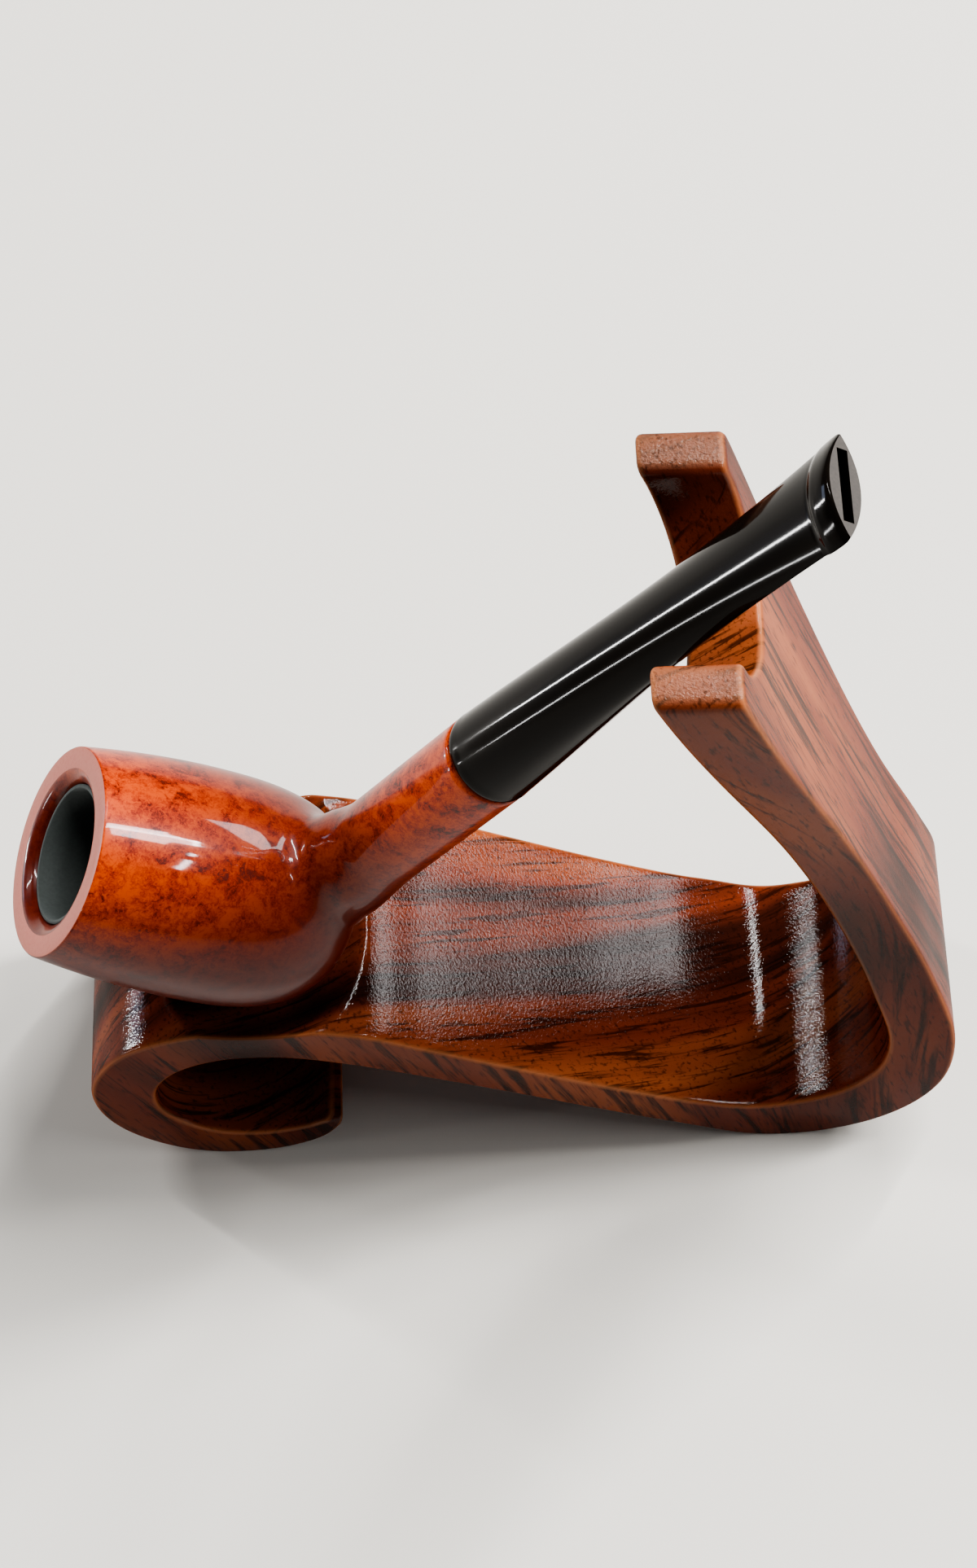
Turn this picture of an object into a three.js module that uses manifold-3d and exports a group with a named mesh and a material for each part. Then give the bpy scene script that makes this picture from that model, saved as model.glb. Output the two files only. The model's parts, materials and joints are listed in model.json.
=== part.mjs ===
// A one-pipe rest carved from a single block of rosewood, with the straight billiard pipe that lies in it.
// Millimetres, +Z up. X runs along the rest, from the heel under the bowl to the corner under the stem.
// Y runs across it. The origin is on the standing plane, in the middle of the whole set's outline.

import * as THREE from 'three';
import { mergeVertices } from 'three/addons/utils/BufferGeometryUtils.js';
import Module from 'manifold-3d';

const wasm = await Module();
wasm.setup();

// ---- driving dimensions: the rest

const restWidth = 41.2;
const restHeight = 150;
const restEdge = 1;
const waistDepth = 7.5; // how far each side of the upright is drawn in at half its height
const waistPower = 1.6;
const waistStart = 104; // the upright begins about here at the bottom, and further back higher up
const waistLean = 0.23;
const waistEase = 12;

// The rest is one thick ribbon of wood. Each station is [x, z, thickness] on the ribbon's middle line,
// from the tip of the lip, round the heel, over the crest, down the plank and up to the top of the fork.
const ribbon = [
  [38.5, 12.4, 2.8],
  [33.5, 7.2, 6.2],
  [26, 4.2, 8.2],
  [17, 5.1, 9.6],
  [9.6, 11.2, 10],
  [5.6, 20, 10],
  [5.9, 30, 10.4],
  [11, 39.2, 11],
  [20, 44.4, 10.6],
  [31, 45, 10.4],
  [41, 42.4, 11.2],
  [51, 36.9, 10.2],
  [67, 27.3, 9.2],
  [83, 17.7, 9],
  [97, 10.2, 9.6],
  [110, 5.6, 12],
  [122.5, 9.2, 12.6],
  [130.3, 17.8, 12],
  [132, 29, 10.6],
  [127.2, 47, 9.9],
  [119.2, 69.5, 9],
  [110, 94.5, 9.1],
  [100, 121, 10],
  [90, 149, 11],
  [86, 160, 11],
];
const ribbonSteps = 112;

const forkGap = 28;
const forkCorner = 10; // radius in the two bottom corners of the notch
const forkFloor = 134.8; // height of the notch's floor at the middle of the wood
const forkMiddle = 95.6;
const forkLean = 19.5; // degrees: the upright leans back towards the bowl

const dishCentre = [28, 73.3]; // x and z of the dish's ellipsoid
const dishHalf = [34.6, 36.7, 30];

// ---- driving dimensions: the pipe, in its own frame
// Its x runs along the shank to the bit and its z up the bowl. They cross at its origin.

const pipeTilt = 32.5; // degrees: the bowl's axis above the horizontal
const pipeAt = [34.6, -2.2, 56.2];

const bowlHeight = 47;
const rimHeight = 40; // rim above the shank's axis
const rimRadius = 15.9;
const bowlRadius = 17.6; // widest, bowlShoulder below the rim
const bowlShoulder = 21;
const bowlRoundness = 2.9; // exponent of the bowl's rounded foot
const bowlTaper = 1.8; // exponent of its draw-in towards the rim
const chamberRadius = 10.8;
const chamberFloor = -2;
const chamberRoundness = 0.75; // depth of its rounded bottom, as a share of its radius
const rimFlat = 12.3; // the rim's flat ring ends here and a bevel leads down into the chamber
const bevelDepth = 1.2;

const coatingThickness = 0.6;
const clearance = 0.3;

const shankRadius = 7;
const shankRoot = 4; // it starts inside the bowl's wall
const shankFlare = 1.8;
const flareFrom = 14;
const flareTo = 26;
const flareAround = 0.35; // share of the flare all round
const flareRimward = 1.4; // and what is added on the side towards the rim
const shankEnd = 55.3;
const draughtRadius = 1.9;
const mortiseRadius = 4.4;
const mortiseDepth = 15.5;

const stemLength = 80;
const tenonLength = 14;
const airwayRadius = 1.3;
const slotWidth = 10.4;
const slotHeight = 1.6;
const slotDepth = 9;

// Stations of the stem's outside: [share of its length, half width, half thickness, how lens-shaped it is].
const stemStations = [
  [0, 7, 7, 0],
  [0.03, 7, 6.9, 0],
  [0.12, 6.9, 6.4, 0],
  [0.3, 6.6, 5.25, 0.05],
  [0.5, 6.4, 3.95, 0.2],
  [0.7, 6.6, 2.85, 0.45],
  [0.86, 7.05, 2.25, 0.7],
  [0.93, 7.3, 2.1, 0.8],
  [0.942, 7.4, 2.15, 0.8],
  [0.955, 7.65, 2.75, 0.85],
  [0.985, 7.7, 2.8, 0.9],
  [1, 7.4, 2.4, 0.9],
];

// ---- solids: closed three.js geometries, joined and cut

function toSolid(geometry) {
  const bare = geometry.clone();
  bare.deleteAttribute('normal');
  bare.deleteAttribute('uv');
  const merged = mergeVertices(bare, 1e-4);
  return new wasm.Manifold(
    new wasm.Mesh({
      numProp: 3,
      vertProperties: new Float32Array(merged.attributes.position.array),
      triVerts: new Uint32Array(merged.index.array),
    }),
  );
}

function toGeometry(solid) {
  const mesh = solid.getMesh();
  const geometry = new THREE.BufferGeometry();
  geometry.setAttribute('position', new THREE.BufferAttribute(mesh.vertProperties, 3));
  geometry.setIndex(new THREE.BufferAttribute(mesh.triVerts, 1));
  geometry.computeVertexNormals();
  return geometry;
}

// A turned solid about z, from [radius, height] pairs that start and end on the axis or close on themselves.
function turned(profile, segments = 40) {
  const points = profile.map(([radius, height]) => new THREE.Vector2(radius, height));
  return new THREE.LatheGeometry(points, segments).rotateX(Math.PI / 2);
}

// A plain round rod along x.
function rod(radius, from, to, segments = 20) {
  const geometry = new THREE.CylinderGeometry(radius, radius, to - from, segments);
  return geometry.rotateZ(-Math.PI / 2).translate((from + to) / 2, 0, 0);
}

function smoothstep(value, from, to) {
  return THREE.MathUtils.smoothstep(value, from, to);
}

// ---- the rest

// The two sides of the ribbon, half a thickness to the left and right of its middle line.
function ribbonOutline() {
  const middle = new THREE.CatmullRomCurve3(
    ribbon.map(([x, z, thickness]) => new THREE.Vector3(x, z, thickness)),
    false,
    'centripetal',
  );
  const stations = middle.getPoints(ribbonSteps);
  const left = [];
  const right = [];
  stations.forEach((station, i) => {
    const before = stations[Math.max(i - 1, 0)];
    const after = stations[Math.min(i + 1, ribbonSteps)];
    const along = new THREE.Vector2(after.x - before.x, after.y - before.y).normalize();
    const half = station.z / 2;
    left.push(new THREE.Vector2(station.x - along.y * half, station.y + along.x * half));
    right.push(new THREE.Vector2(station.x + along.y * half, station.y - along.x * half));
  });
  return [...cutLevel(left), ...cutLevel(right).reverse()];
}

// Ends a side at the top of the fork, and sands it flat where it stands.
function cutLevel(side) {
  const kept = side.filter((point) => point.y < restHeight - 2);
  const last = kept[kept.length - 1];
  const next = side[kept.length];
  const share = (restHeight - last.y) / (next.y - last.y);
  kept.push(last.clone().lerp(next, share));
  const sanded = kept.map((point) => new THREE.Vector2(point.x, Math.max(point.y, 0)));
  return sanded.filter((point, i) => point.y > 0 || sanded[i - 1].y > 0 || sanded[i + 1].y > 0);
}

// How far a side face is drawn in at a point of the rest: nothing on the base, most half way up the upright.
function waistAt(x, z) {
  const start = waistStart - waistLean * z;
  const onUpright = smoothstep(x, start, start + waistEase);
  const rise = THREE.MathUtils.clamp(z / restHeight, 0, 1);
  return waistDepth * onUpright * Math.sin(Math.PI * rise) ** waistPower;
}

function restGeometry() {
  const blank = new THREE.ExtrudeGeometry(new THREE.Shape(ribbonOutline()), {
    depth: restWidth - 2 * restEdge,
    bevelThickness: restEdge,
    bevelSize: restEdge,
    bevelOffset: -restEdge,
    bevelSegments: 2,
    steps: 1,
  });
  blank.translate(0, 0, restEdge - restWidth / 2).rotateX(Math.PI / 2);
  const place = blank.attributes.position;
  for (let i = 0; i < place.count; i += 1) {
    const waist = waistAt(place.getX(i), place.getZ(i));
    place.setY(i, place.getY(i) * (1 - (2 * waist) / restWidth));
  }
  return toGeometry(toSolid(blank).subtract(toSolid(notch())).subtract(toSolid(dish())));
}

// The U-shaped notch between the two tines, cut square through the leaning upright.
function notch() {
  const half = forkGap / 2;
  const shape = new THREE.Shape();
  shape.moveTo(-half, 40);
  shape.lineTo(-half, forkCorner);
  shape.absarc(-half + forkCorner, forkCorner, forkCorner, Math.PI, 1.5 * Math.PI);
  shape.absarc(half - forkCorner, forkCorner, forkCorner, 1.5 * Math.PI, 2 * Math.PI);
  shape.lineTo(half, 40);
  const cutter = new THREE.ExtrudeGeometry(shape, { depth: 40, bevelEnabled: false, curveSegments: 12 });
  cutter.translate(0, 0, -20).rotateX(Math.PI / 2).rotateZ(Math.PI / 2);
  return cutter.rotateY(-THREE.MathUtils.degToRad(forkLean)).translate(forkMiddle, 0, forkFloor);
}

// The shallow dish in the crest that the bowl lies in.
function dish() {
  return new THREE.SphereGeometry(1, 44, 30)
    .scale(...dishHalf)
    .translate(dishCentre[0], 0, dishCentre[1]);
}

// ---- the pipe's bowl and shank: one piece of briar, the stummel

function bowlOutside() {
  const shoulder = rimHeight - bowlShoulder;
  const foot = rimHeight - bowlHeight;
  const profile = [];
  for (let i = 0; i <= 14; i += 1) {
    const down = Math.cos((i / 14) * (Math.PI / 2));
    const radius = bowlRadius * (1 - down ** bowlRoundness) ** (1 / bowlRoundness);
    profile.push([radius, shoulder - down * (shoulder - foot)]);
  }
  for (let i = 1; i <= 7; i += 1) {
    const up = i / 7;
    const radius = rimRadius + (bowlRadius - rimRadius) * (1 - up ** bowlTaper);
    profile.push([radius, shoulder + up * bowlShoulder]);
  }
  return [...profile, [0, rimHeight]];
}

// The chamber's wall from its floor up, at a given inset from the wood.
function chamberWall(inset, top) {
  const radius = chamberRadius - inset;
  const floor = chamberFloor + inset;
  const profile = [];
  for (let i = 0; i <= 8; i += 1) {
    const turn = (i / 8) * (Math.PI / 2);
    profile.push([radius * Math.sin(turn), floor + radius * chamberRoundness * (1 - Math.cos(turn))]);
  }
  return [...profile, [radius, top]];
}

function shankOutside() {
  const geometry = new THREE.CylinderGeometry(1, 1, 1, 36, 10);
  geometry.rotateZ(-Math.PI / 2);
  const place = geometry.attributes.position;
  for (let i = 0; i < place.count; i += 1) {
    const x = shankRoot + (place.getX(i) + 0.5) * (shankEnd - shankRoot);
    const towardsRim = Math.max(place.getZ(i), 0);
    const flare = shankFlare * (flareAround + flareRimward * towardsRim);
    const radius = shankRadius + flare * (1 - smoothstep(x, flareFrom, flareTo));
    place.setXYZ(i, x, place.getY(i) * radius, place.getZ(i) * radius);
  }
  return geometry;
}

function stummelGeometry() {
  const rim = [
    ...chamberWall(0, rimHeight - bevelDepth),
    [rimFlat, rimHeight],
    [rimFlat, rimHeight + 2],
    [0, rimHeight + 2],
  ];
  const solid = toSolid(turned(bowlOutside()))
    .add(toSolid(shankOutside()))
    .subtract(toSolid(turned(rim)))
    .subtract(toSolid(rod(draughtRadius, 6, shankEnd)))
    .subtract(toSolid(rod(mortiseRadius, shankEnd - mortiseDepth, shankEnd + 5)));
  return toGeometry(solid);
}

// The thin charcoal coat that lines the chamber, open at the top and at the draught hole.
function coatingGeometry() {
  const top = rimHeight - bevelDepth - clearance;
  const outside = chamberWall(clearance, top);
  const inside = chamberWall(clearance + coatingThickness, top);
  const solid = toSolid(turned([...outside, ...inside.reverse()], 28));
  return toGeometry(solid.subtract(toSolid(rod(draughtRadius, 0, chamberRadius + 4))));
}

// ---- the stem, with the tenon turned on its end

function stemOutside() {
  const course = new THREE.CatmullRomCurve3(
    stemStations.map(([share, width, thickness]) => new THREE.Vector3(share * stemLength, width, thickness)),
    false,
    'centripetal',
  );
  const rings = 33;
  const stations = course.getPoints(rings);
  const geometry = new THREE.CylinderGeometry(1, 1, 1, 36, rings);
  geometry.rotateZ(-Math.PI / 2);
  const place = geometry.attributes.position;
  for (let i = 0; i < place.count; i += 1) {
    const station = stations[Math.round((place.getX(i) + 0.5) * rings)];
    const across = place.getY(i);
    const up = place.getZ(i);
    const lens = lensAt(station.x / stemLength);
    place.setXYZ(
      i,
      shankEnd + clearance + station.x,
      across * station.y,
      up * Math.abs(up) ** lens * station.z,
    );
  }
  return geometry;
}

// How far the section has gone from a circle towards a lens with two sharp sides.
function lensAt(share) {
  const after = Math.max(stemStations.findIndex((station) => station[0] >= share), 1);
  const [from, , , lensFrom] = stemStations[after - 1];
  const [to, , , lensTo] = stemStations[after];
  return THREE.MathUtils.mapLinear(share, from, to, lensFrom, lensTo);
}

// The slot in the bit's end and the funnel that narrows from it to the airway.
function slotCutter() {
  const end = shankEnd + clearance + stemLength;
  const shape = new THREE.Shape();
  shape.moveTo(end + 2, -slotWidth / 2);
  shape.lineTo(end + 2, slotWidth / 2);
  shape.lineTo(end - 2, slotWidth / 2);
  shape.lineTo(end - slotDepth, airwayRadius * 0.8);
  shape.lineTo(end - slotDepth, -airwayRadius * 0.8);
  shape.lineTo(end - 2, -slotWidth / 2);
  const cutter = new THREE.ExtrudeGeometry(shape, { depth: slotHeight, bevelEnabled: false });
  return cutter.translate(0, 0, -slotHeight / 2);
}

function stemGeometry() {
  const start = shankEnd + clearance;
  const end = start + stemLength;
  const tenonRadius = mortiseRadius - clearance;
  const tenonEnd = start - tenonLength;
  const solid = toSolid(stemOutside())
    .add(toSolid(rod(tenonRadius, tenonEnd, start + 3)))
    .subtract(toSolid(rod(airwayRadius, tenonEnd - 2, end - slotDepth + 1, 16)))
    .subtract(toSolid(slotCutter()));
  return toGeometry(solid);
}

// ---- the pieces, each a named mesh with its own material

function piece(name, geometry, color, roughness) {
  const material = new THREE.MeshStandardMaterial({ color, roughness, metalness: 0 });
  const mesh = new THREE.Mesh(geometry, material);
  mesh.name = name;
  return mesh;
}

const pipe = new THREE.Group();
pipe.rotation.y = THREE.MathUtils.degToRad(pipeTilt - 90);
pipe.position.set(...pipeAt);
pipe.add(
  piece('stummel', stummelGeometry(), 0xa83a10, 0.18),
  piece('chamber_coating', coatingGeometry(), 0x2b2f2d, 0.9),
  piece('stem', stemGeometry(), 0x15130f, 0.15),
);

const set = new THREE.Group();
set.add(piece('rest', restGeometry(), 0x8a3a18, 0.25), pipe);

const outline = new THREE.Box3().setFromObject(set, true);
const middle = outline.getCenter(new THREE.Vector3());
set.position.set(-middle.x, 0, 0);
set.updateMatrixWorld(true);

export default set;
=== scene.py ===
import json
import math

import bmesh
import bpy
from mathutils import Matrix, Vector, geometry, kdtree


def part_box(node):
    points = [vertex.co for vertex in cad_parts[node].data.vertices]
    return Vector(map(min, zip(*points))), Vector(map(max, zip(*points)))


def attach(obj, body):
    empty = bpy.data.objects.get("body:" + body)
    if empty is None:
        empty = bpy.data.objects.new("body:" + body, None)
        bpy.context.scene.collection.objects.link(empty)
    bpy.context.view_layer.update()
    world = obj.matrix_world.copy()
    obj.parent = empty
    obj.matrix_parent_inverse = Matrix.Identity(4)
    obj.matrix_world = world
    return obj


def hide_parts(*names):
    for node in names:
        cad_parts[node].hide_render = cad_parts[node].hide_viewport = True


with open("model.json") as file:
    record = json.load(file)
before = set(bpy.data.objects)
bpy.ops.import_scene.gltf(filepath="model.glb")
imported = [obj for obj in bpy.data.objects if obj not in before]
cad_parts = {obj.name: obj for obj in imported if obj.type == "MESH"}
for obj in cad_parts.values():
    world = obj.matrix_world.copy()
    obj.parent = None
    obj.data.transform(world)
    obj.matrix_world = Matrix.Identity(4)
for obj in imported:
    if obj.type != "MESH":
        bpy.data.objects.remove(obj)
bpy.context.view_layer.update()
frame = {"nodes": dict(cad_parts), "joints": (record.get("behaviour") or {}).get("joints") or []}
mm = 0.001
print("frame loaded:", sorted(frame["nodes"]))


def srgb(hexColour):
    parts = [int(hexColour[i:i + 2], 16) / 255 for i in (1, 3, 5)]
    return [p / 12.92 if p <= 0.04045 else ((p + 0.055) / 1.055) ** 2.4 for p in parts] + [1.0]


def addNode(tree, kind, settings=None, links=None):
    node = tree.nodes.new(kind)
    for name, value in (settings or {}).items():
        setattr(node, name, value)
    for socket, value in (links or {}).items():
        if isinstance(value, bpy.types.NodeSocket):
            tree.links.new(value, node.inputs[socket])
        else:
            node.inputs[socket].default_value = value
    return node


def newMaterial(name):
    material = bpy.data.materials.new(name)
    material.use_nodes = True
    material.node_tree.nodes.clear()
    return material, material.node_tree


def newObject(name, mesh):
    obj = bpy.data.objects.new(name, mesh)
    bpy.context.scene.collection.objects.link(obj)
    return obj


# A smooth line through listed stations: centripetal spline, then evened out without shrinking.
def smoothLine(stations, perSpan, passes):
    points = [Vector(s) for s in stations]
    points = [2 * points[0] - points[1]] + points + [2 * points[-1] - points[-2]]
    line = []
    for a, b, c, d in zip(points, points[1:], points[2:], points[3:]):
        ta = 0.0
        tb = ta + (b - a).length ** 0.5
        tc = tb + (c - b).length ** 0.5
        td = tc + (d - c).length ** 0.5
        for i in range(perSpan):
            t = tb + (tc - tb) * i / perSpan
            ab = a.lerp(b, (t - ta) / (tb - ta))
            bc = b.lerp(c, (t - tb) / (tc - tb))
            cd = c.lerp(d, (t - tc) / (td - tc))
            abc = ab.lerp(bc, (t - ta) / (tc - ta))
            bcd = bc.lerp(cd, (t - tb) / (td - tb))
            line.append(abc.lerp(bcd, (t - tb) / (tc - tb)))
    line.append(points[-2].copy())
    for weight in (0.5, -0.52) * passes:
        moved = [p + weight * ((a + b) / 2 - p) for a, p, b in zip(line, line[1:], line[2:])]
        line = [line[0]] + moved + [line[-1]]
    return line


# The rest is one thick ribbon of wood, which geometry nodes wrap along a line.
rest = {
    "left": 0.127 * mm,         # where the heel's outside lies in the stations' own x
    "width": 41.2 * mm,
    "height": 150 * mm,
    "edge": 0.9 * mm,           # rounding of all edges
    "edgeRings": 5,             # steps round that edge
    "lip": 1.6 * mm,            # rounding of the lip's two corners, seen from above
    "corner": 2.0 * mm,         # rounding of the tines' four upright corners, seen from above
    "step": 0.85 * mm,
    "forkGap": 28 * mm,
    "forkCorner": 13 * mm,
    "forkFloor": 134.8 * mm,
    "waistDepth": 7.5 * mm,
    "waistPower": 1.6,
    "waistFrom": 104 * mm,
    "waistLean": 0.23,
    "waistEase": 12 * mm,       # the waist fades in over this
    "levelled": 12 * mm,        # the last of the ribbon, which bends to end level
    "dishCentre": (28 * mm, 0, 73.3 * mm),
    "dishHalf": (34.6 * mm, 36.7 * mm, 30 * mm),
    "stations": [               # x, z and thickness in mm from the lip's tip to the top of the fork
        (38.5, 12.4, 2.8), (33.5, 7.2, 6.2), (26, 4.2, 8.2), (17, 5.1, 9.6), (9.6, 11.2, 10),
        (5.6, 20, 10), (5.9, 30, 10.4), (11, 39.2, 11), (20, 44.4, 10.6), (31, 45, 10.4),
        (41, 42.4, 11.2), (51, 36.9, 10.2), (67, 27.3, 9.2), (83, 17.7, 9), (97, 10.2, 9.6),
        (110, 5.6, 12), (122.5, 9.2, 12.6), (130.3, 17.8, 12), (132, 29, 10.6), (127.2, 47, 9.9),
        (119.2, 69.5, 9), (110, 94.5, 9.1), (100, 121, 10), (90, 149, 11), (86, 160, 11)],
}


rosewood = {
    "lean": 19.5,               # degrees: the fibres run up the leaning upright, through the whole block
    "ringTurn": -66,            # degrees: how the growth layers are turned about the fibres
    "bandWidth": 17 * mm,       # broad light and dark figure
    "streakWidth": 0.8 * mm,    # fine dark veins
    "poreWidth": 0.35 * mm,     # real pores are near 0.15 mm, drawn coarser so that they show
    "darkAt": 9.5 * mm,         # one broad dark layer that crosses the low run of the ribbon
    "darkHalf": 5 * mm,
    "darkWave": 14 * mm,        # how far it wanders
    "light": "#7e4124",
    "middle": "#5a2414",
    "dark": "#1f0b06",
    "vein": "#120502",
    "highlitEdges": "#a86a45",          # painted highlight: a light line on the rounded edges, standing for the glint of the lacquer there
    "endGrain": "#74503d",      # sanded tops of the tines
    "grit": 0.45 * mm,          # orange peel of the sprayed lacquer
    "gritDepth": 0.2 * mm,      # on the end grain, and a fifth of it elsewhere
    "gritShare": 0.2,
}


def lacqueredRosewood(values):
    # dense dark wood seen through thick lacquer: deep colour, wet gloss, highlights broken by a fine pebble
    material, tree = newMaterial("rosewood under sprayed gloss lacquer")
    place = addNode(tree, "ShaderNodeTexCoord")
    upright = addNode(tree, "ShaderNodeMapping", {"vector_type": "TEXTURE"}, {
        "Vector": place.outputs["Object"],
        "Rotation": (0, -math.radians(values["lean"]), 0)})
    turned = addNode(tree, "ShaderNodeMapping", {"vector_type": "TEXTURE"}, {
        "Vector": upright.outputs[0],
        "Rotation": (0, 0, math.radians(values["ringTurn"]))})
    # broad bands across the growth layers, bent a little by a slow noise
    band = addNode(tree, "ShaderNodeMapping", {}, {
        "Vector": turned.outputs[0],
        "Scale": (1 / values["bandWidth"], 0.12 / values["bandWidth"], 0.09 / values["bandWidth"])})
    bandNoise = addNode(tree, "ShaderNodeTexNoise", {}, {
        "Vector": band.outputs[0], "Scale": 1.0, "Detail": 3.0, "Roughness": 0.55, "Distortion": 0.35})
    bandColour = addNode(tree, "ShaderNodeValToRGB", {}, {"Fac": bandNoise.outputs["Fac"]})
    ramp = bandColour.color_ramp
    ramp.elements[0].position = 0.36
    ramp.elements[0].color = srgb(values["dark"])
    ramp.elements[1].position = 0.66
    ramp.elements[1].color = srgb(values["light"])
    ramp.elements.new(0.48).color = srgb(values["middle"])
    # one broad dark layer, wavy at its sides
    across = addNode(tree, "ShaderNodeSeparateXYZ", {}, {0: turned.outputs[0]}).outputs[0]
    wave = addNode(tree, "ShaderNodeMath", {"operation": "MULTIPLY_ADD"}, {
        0: bandNoise.outputs["Fac"], 1: values["darkWave"], 2: across}).outputs[0]
    off = addNode(tree, "ShaderNodeMath", {"operation": "SUBTRACT"}, {
        0: wave, 1: values["darkAt"] + values["darkWave"] / 2}).outputs[0]
    away = addNode(tree, "ShaderNodeMath", {"operation": "ABSOLUTE"}, {0: off}).outputs[0]
    darkShare = addNode(tree, "ShaderNodeMapRange", {"interpolation_type": "SMOOTHSTEP"}, {
        "Value": away, "From Min": 0.15 * values["darkHalf"], "From Max": values["darkHalf"],
        "To Min": 0.7, "To Max": 0.0})
    layered = addNode(tree, "ShaderNodeMix", {"data_type": "RGBA"}, {
        "Factor": darkShare.outputs[0], "A": bandColour.outputs[0], "B": srgb(values["dark"])})
    # fine veins along the fibres
    vein = addNode(tree, "ShaderNodeMapping", {}, {
        "Vector": turned.outputs[0],
        "Scale": (1 / values["streakWidth"], 0.09 / values["streakWidth"], 0.022 / values["streakWidth"])})
    veinNoise = addNode(tree, "ShaderNodeTexNoise", {}, {
        "Vector": vein.outputs[0], "Scale": 0.8, "Detail": 4.0, "Roughness": 0.6, "Distortion": 0.4})
    veinShare = addNode(tree, "ShaderNodeMapRange", {"interpolation_type": "SMOOTHSTEP"}, {
        "Value": veinNoise.outputs["Fac"], "From Min": 0.5, "From Max": 0.64, "To Min": 0.0, "To Max": 0.8})
    veined = addNode(tree, "ShaderNodeMix", {"data_type": "RGBA"}, {
        "Factor": veinShare.outputs[0], "A": layered.outputs["Result"], "B": srgb(values["vein"])})
    # pores: short dark dashes along the fibres
    pore = addNode(tree, "ShaderNodeMapping", {}, {
        "Vector": turned.outputs[0],
        "Scale": (1 / values["poreWidth"], 1 / values["poreWidth"], 0.12 / values["poreWidth"])})
    poreNoise = addNode(tree, "ShaderNodeTexNoise", {}, {
        "Vector": pore.outputs[0], "Scale": 0.6, "Detail": 2.0, "Roughness": 0.5})
    poreShare = addNode(tree, "ShaderNodeMapRange", {}, {
        "Value": poreNoise.outputs["Fac"], "From Min": 0.55, "From Max": 0.7, "To Min": 0.0, "To Max": 0.6})
    # tops of the tines: end grain, sanded pale
    height = addNode(tree, "ShaderNodeSeparateXYZ", {}, {0: place.outputs["Object"]}).outputs[2]
    endFrom = rest["height"] - 0.7 * mm
    endTo = rest["height"] - 0.1 * mm
    topShare = addNode(tree, "ShaderNodeMapRange", {}, {
        "Value": height, "From Min": endFrom, "From Max": endTo, "To Max": 0.55})
    topped = addNode(tree, "ShaderNodeMix", {"data_type": "RGBA"}, {
        "Factor": topShare.outputs[0], "A": veined.outputs["Result"], "B": srgb(values["endGrain"])})
    pitted = addNode(tree, "ShaderNodeMix", {"data_type": "RGBA"}, {
        "Factor": poreShare.outputs[0], "A": topped.outputs["Result"], "B": srgb(values["vein"])})
    # painted highlight: a thin light line along the rounded edges, standing for the lacquer's glint there,
    # that comes and goes
    sunk = addNode(tree, "ShaderNodeAttribute", {"attribute_name": "sunk"})
    edge = addNode(tree, "ShaderNodeValToRGB", {}, {"Fac": addNode(tree, "ShaderNodeMapRange", {}, {
        "Value": sunk.outputs["Fac"], "From Max": rest["edge"]}).outputs[0]})
    edge.color_ramp.elements[0].color = (0, 0, 0, 1)
    edge.color_ramp.elements[1].color = (0, 0, 0, 1)
    edge.color_ramp.elements.new(0.3).color = (1, 1, 1, 1)
    # the painted edge highlight grows stronger and weaker with the broad band noise
    rubbed = addNode(tree, "ShaderNodeMapRange", {}, {
        "Value": bandNoise.outputs["Fac"], "From Min": 0.3, "From Max": 0.6, "To Min": 0.15, "To Max": 0.6})
    edgeHighlightShare = addNode(tree, "ShaderNodeMath", {"operation": "MULTIPLY"}, {
        0: edge.outputs[0], 1: rubbed.outputs[0]})
    highlitEdges = addNode(tree, "ShaderNodeMix", {"data_type": "RGBA"}, {
        "Factor": edgeHighlightShare.outputs[0], "A": pitted.outputs["Result"], "B": srgb(values["highlitEdges"])})
    # deeper grit where the lacquer sank into the end grain, so the tops glitter
    grit = addNode(tree, "ShaderNodeMapRange", {}, {
        "Value": height, "From Min": endFrom, "From Max": endTo,
        "To Min": values["gritShare"], "To Max": 1.0})
    # lacquer skin
    peel = addNode(tree, "ShaderNodeTexNoise", {}, {
        "Vector": place.outputs["Object"], "Scale": 1 / values["grit"], "Detail": 2.0, "Roughness": 0.6})
    skin = addNode(tree, "ShaderNodeBump", {}, {
        "Height": peel.outputs["Fac"], "Strength": grit.outputs[0], "Distance": values["gritDepth"]})
    surface = addNode(tree, "ShaderNodeBsdfPrincipled", {}, {
        "Base Color": highlitEdges.outputs["Result"],
        "Roughness": 0.42,
        "IOR": 1.5,
        "Specular IOR Level": 0.0,
        "Coat Weight": 0.24,
        "Coat Roughness": 0.05,
        "Coat IOR": 1.52,
        "Normal": skin.outputs[0],
        "Coat Normal": skin.outputs[0]})
    addNode(tree, "ShaderNodeOutputMaterial", {}, {"Surface": surface.outputs[0]})
    return material


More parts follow.
